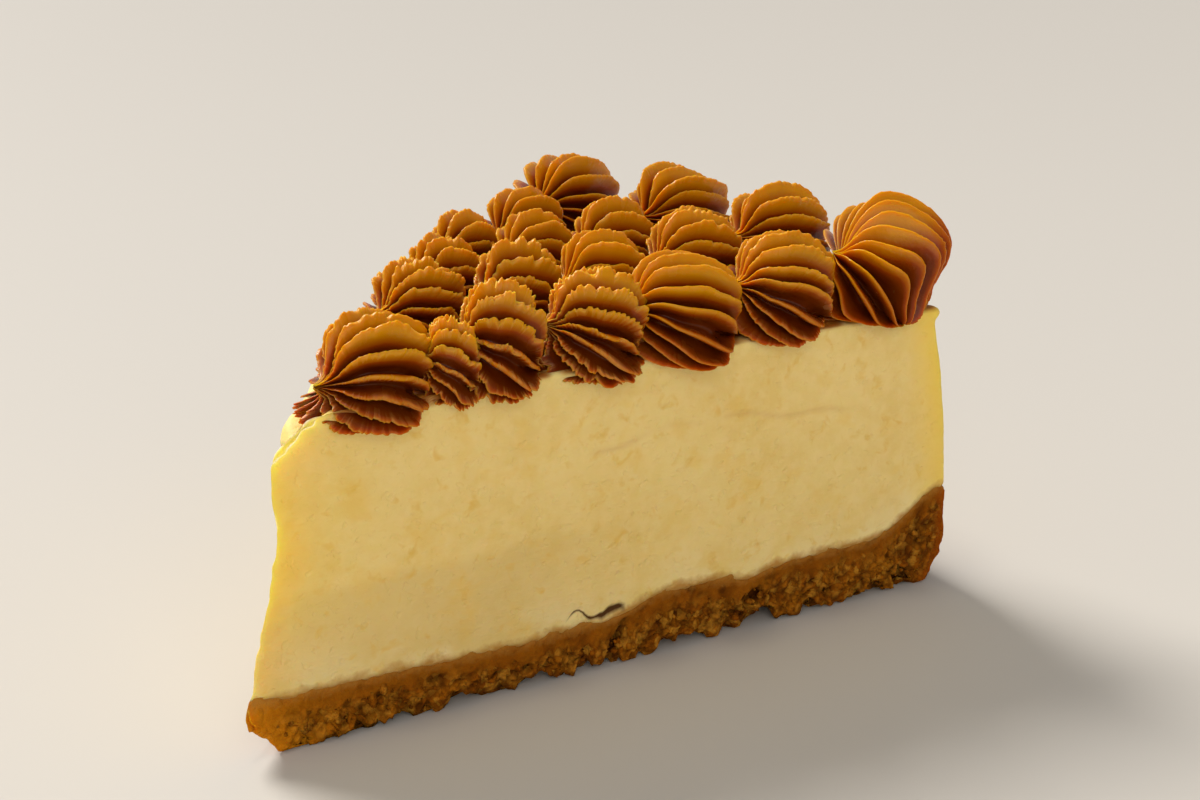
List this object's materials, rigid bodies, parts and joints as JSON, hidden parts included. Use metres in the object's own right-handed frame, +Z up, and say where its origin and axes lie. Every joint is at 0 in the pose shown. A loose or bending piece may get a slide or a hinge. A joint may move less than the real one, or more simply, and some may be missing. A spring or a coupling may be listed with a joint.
{
  "type": "slice of cheesecake",
  "caption": "Wedge slice of baked cheesecake on a biscuit crumb base, its top covered with piped caramel shells. It rests flat on its base.",
  "frame": {"origin": "middle of the slice's length and width, on the surface it rests on", "axes": "+X from the slice's tip to its curved rim along its middle line, +Z up"},
  "size_m": [0.1192, 0.0898, 0.0636],
  "materials": {
    "cheesecake_filling": "smooth, moist, slightly translucent pale yellow baked filling",
    "crumb_base": "coarse golden-brown biscuit crumb",
    "piped_caramel": "glossy thick caramel with deep piped ridges"
  },
  "bodies": {
    "root": {"crumb_base": "crumb_base", "cheesecake_filling": "cheesecake_filling", "caramel_shell_01": "piped_caramel", "caramel_shell_02": "piped_caramel", "caramel_shell_03": "piped_caramel", "caramel_shell_04": "piped_caramel", "caramel_shell_05": "piped_caramel", "caramel_shell_06": "piped_caramel", "caramel_shell_07": "piped_caramel", "caramel_shell_08": "piped_caramel", "caramel_shell_09": "piped_caramel", "caramel_shell_10": "piped_caramel", "caramel_shell_11": "piped_caramel", "caramel_shell_12": "piped_caramel", "caramel_shell_13": "piped_caramel", "caramel_shell_14": "piped_caramel", "caramel_shell_15": "piped_caramel", "caramel_shell_16": "piped_caramel", "caramel_shell_17": "piped_caramel", "caramel_shell_18": "piped_caramel", "caramel_shell_19": "piped_caramel"}
  },
  "joints": []
}
